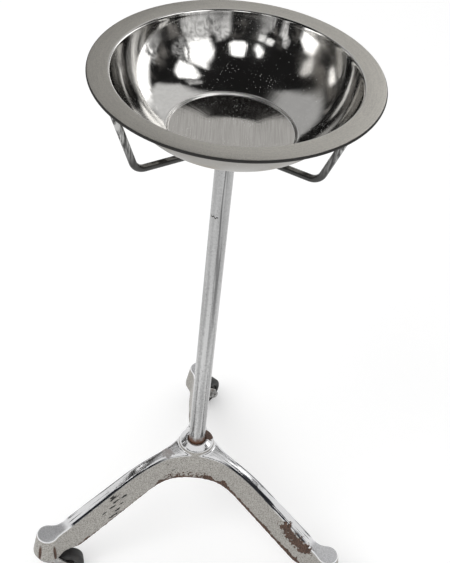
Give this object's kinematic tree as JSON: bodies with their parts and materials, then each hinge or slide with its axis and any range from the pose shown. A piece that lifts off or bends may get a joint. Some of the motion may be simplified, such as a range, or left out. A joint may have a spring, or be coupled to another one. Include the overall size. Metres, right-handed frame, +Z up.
{
  "type": "basin stand",
  "caption": "Wheeled wash-basin stand: a round flat-rimmed steel basin lifts out of a rod carrier on a chrome tube column above a cast tripod base with swivel casters.",
  "frame": {"origin": "on the floor, straight below the column's axis", "axes": "+Z up along the column, +Y towards the rear leg, so the two front legs face -Y"},
  "size_m": [0.5158, 0.4778, 0.876],
  "materials": {
    "basin_steel": "stainless sheet, mirror polished inside, satin flat rim",
    "carrier_chrome": "worn bright chrome plate on steel rod",
    "column_chrome": "bright chrome tube, lightly pitted",
    "plated_iron": "chrome plated casting, polished backs, sandy sides, rust at the edges",
    "caster_steel": "dull plated steel pressing",
    "plain_steel": "plain machined steel",
    "bush_brass": "turned brass",
    "wheel_centre": "black moulded wheel centre",
    "black_rubber": "black rubber tread"
  },
  "bodies": {
    "stand": {"carrier_ring": "carrier_chrome", "carrier_arm_rear": "carrier_chrome", "carrier_arm_front_left": "carrier_chrome", "carrier_arm_front_right": "carrier_chrome", "carrier_hub": "carrier_chrome", "carrier_set_screw": "plain_steel", "column_tube": "column_chrome", "column_plug": "plain_steel", "base_casting": "plated_iron", "base_washer": "plain_steel", "base_bolt": "plain_steel", "caster_rear_socket": "plain_steel", "caster_rear_stem": "caster_steel", "caster_rear_race_balls": "plain_steel", "caster_front_left_socket": "plain_steel", "caster_front_left_stem": "caster_steel", "caster_front_left_race_balls": "plain_steel", "caster_front_right_socket": "plain_steel", "caster_front_right_stem": "caster_steel", "caster_front_right_race_balls": "plain_steel"},
    "basin": {"basin": "basin_steel"},
    "fork_rear": {"caster_rear_fork": "caster_steel", "caster_rear_axle": "plain_steel", "caster_rear_axle_nut": "plain_steel", "caster_rear_axle_bush": "bush_brass"},
    "wheel_rear": {"caster_rear_wheel_core": "wheel_centre", "caster_rear_tyre": "black_rubber"},
    "fork_front_left": {"caster_front_left_fork": "caster_steel", "caster_front_left_axle": "plain_steel", "caster_front_left_axle_nut": "plain_steel", "caster_front_left_axle_bush": "bush_brass"},
    "wheel_front_left": {"caster_front_left_wheel_core": "wheel_centre", "caster_front_left_tyre": "black_rubber"},
    "fork_front_right": {"caster_front_right_fork": "caster_steel", "caster_front_right_axle": "plain_steel", "caster_front_right_axle_nut": "plain_steel", "caster_front_right_axle_bush": "bush_brass"},
    "wheel_front_right": {"caster_front_right_wheel_core": "wheel_centre", "caster_front_right_tyre": "black_rubber"}
  },
  "joints": [
    {"name": "basin_lift", "type": "slide", "parent": "stand", "child": "basin", "axis": [0, 0, 1], "range_m": [0, 0.15]},
    {"name": "caster_rear_swivel", "type": "hinge", "parent": "stand", "child": "fork_rear", "pos_m": [0, 0.252, 0.054], "axis": [0, 0, 1], "continuous": true},
    {"name": "caster_rear_roll", "type": "hinge", "parent": "fork_rear", "child": "wheel_rear", "pos_m": [0.01847, 0.27564, 0.0254], "axis": [-0.788, 0.6157, 0], "continuous": true},
    {"name": "caster_front_left_swivel", "type": "hinge", "parent": "stand", "child": "fork_front_left", "pos_m": [-0.21824, -0.126, 0.054], "axis": [0, 0, 1], "continuous": true},
    {"name": "caster_front_left_roll", "type": "hinge", "parent": "fork_front_left", "child": "wheel_front_left", "pos_m": [-0.18913, -0.11874, 0.0254], "axis": [-0.2419, 0.9703, 0], "continuous": true},
    {"name": "caster_front_right_swivel", "type": "hinge", "parent": "stand", "child": "fork_front_right", "pos_m": [0.21824, -0.126, 0.054], "axis": [0, 0, 1], "continuous": true},
    {"name": "caster_front_right_roll", "type": "hinge", "parent": "fork_front_right", "child": "wheel_front_right", "pos_m": [0.24816, -0.12391, 0.0254], "axis": [-0.0698, 0.9976, 0], "continuous": true}
  ]
}
